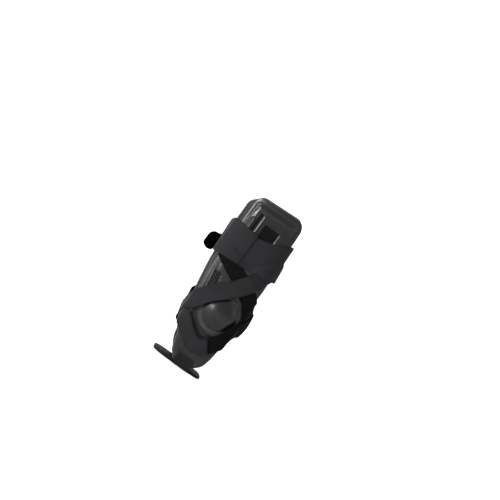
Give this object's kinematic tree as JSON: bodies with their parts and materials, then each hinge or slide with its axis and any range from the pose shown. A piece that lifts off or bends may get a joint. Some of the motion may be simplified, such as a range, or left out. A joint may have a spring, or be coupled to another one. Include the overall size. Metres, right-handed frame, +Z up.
{
  "type": "ankle brace",
  "caption": "Stirrup ankle brace with two padded moulded side shells, a heel plate, a wide calf strap and crossing straps.",
  "frame": {"origin": "middle of the heel plate's underside", "axes": "+Z up along the leg, +X toward the toes, +Y toward the inner side of the leg"},
  "size_m": [0.1282, 0.118, 0.266],
  "materials": {
    "shell": "semi-gloss moulded plastic",
    "liner": "cloth-covered foam padding",
    "plate": "matt moulded plastic",
    "charcoal_webbing": "brushed loop webbing",
    "black_webbing": "woven elastic webbing"
  },
  "bodies": {
    "root": {"medial_shell": "shell", "lateral_shell": "shell", "medial_liner": "liner", "lateral_liner": "liner", "heel_plate": "plate", "calf_strap": "charcoal_webbing", "heel_strap": "charcoal_webbing", "outer_cross_strap": "black_webbing", "inner_cross_strap": "black_webbing"}
  },
  "joints": []
}
